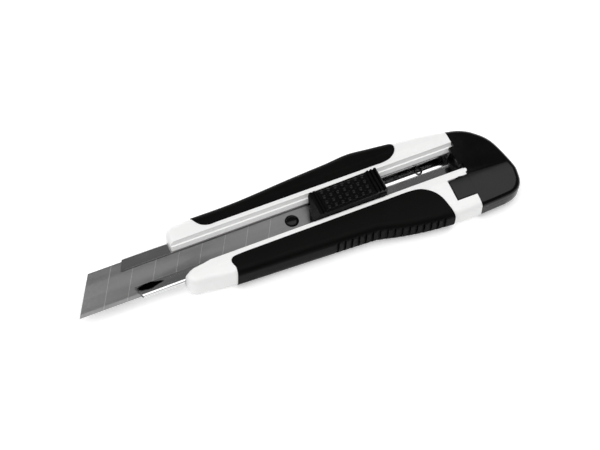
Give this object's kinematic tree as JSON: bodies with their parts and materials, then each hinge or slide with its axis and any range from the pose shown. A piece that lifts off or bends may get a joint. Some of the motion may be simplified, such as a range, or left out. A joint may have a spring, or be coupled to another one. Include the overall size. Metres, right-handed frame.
{
  "type": "utility knife",
  "caption": "Snap-off utility knife with a white moulded handle, black soft grips, folded steel rail, locking slider and a pull-off end cap with a press latch.",
  "frame": {"origin": "on the flat back of the handle, on the blade's centre line, under the middle of the handle", "axes": "+X along the knife towards the end cap, +Y from the cutting edge to the spine, +Z out of the back, through the handle to the slider"},
  "size_m": [0.1899, 0.0448, 0.0161],
  "materials": {
    "white_plastic": "satin gloss moulded plastic",
    "soft_grip": "matt moulded soft grip with a faint sheen",
    "rail_steel": "bright rolled strip steel",
    "rivet_steel": "plain",
    "blade_steel": "ground grey carbon steel",
    "spring_steel": "plain",
    "black_plastic": "fine moulded texture",
    "slider_rubber": "studded, slightly glossy",
    "gloss_black_plastic": "high gloss"
  },
  "bodies": {
    "handle": {"handle_body": "white_plastic", "spine_grip": "soft_grip", "finger_grip": "soft_grip", "back_pad": "soft_grip", "blade_rail": "rail_steel", "rail_rivet_spine": "rivet_steel", "rail_rivet_edge": "rivet_steel", "spare_blade_1": "blade_steel", "spare_blade_2": "blade_steel", "spare_blade_3": "blade_steel"},
    "carriage": {"snap_off_blade": "blade_steel", "blade_carrier": "black_plastic", "lock_spring": "spring_steel"},
    "button": {"slider_button": "black_plastic", "slider_pad": "slider_rubber", "lock_pawl": "spring_steel"},
    "cap": {"end_cap": "gloss_black_plastic"},
    "latch": {"cap_latch": "gloss_black_plastic"}
  },
  "joints": [
    {"name": "blade_slide", "type": "slide", "parent": "handle", "child": "carriage", "axis": [1, 0, 0], "range_m": [-0.04, 0.027]},
    {"name": "button_press", "type": "slide", "parent": "carriage", "child": "button", "axis": [0, 0, -1], "range_m": [0, 0.0008], "stiffness_N_per_m": 2500, "deforming": ["lock_spring"]},
    {"name": "cap_pull", "type": "slide", "parent": "handle", "child": "cap", "axis": [1, 0, 0], "range_m": [0, 0.025]},
    {"name": "latch_press", "type": "hinge", "parent": "cap", "child": "latch", "pos_m": [0.0535, -0.0149, 0.0119], "axis": [0, -1, 0], "range_deg": [0, 4], "stiffness_Nm_per_rad": 0.4}
  ]
}
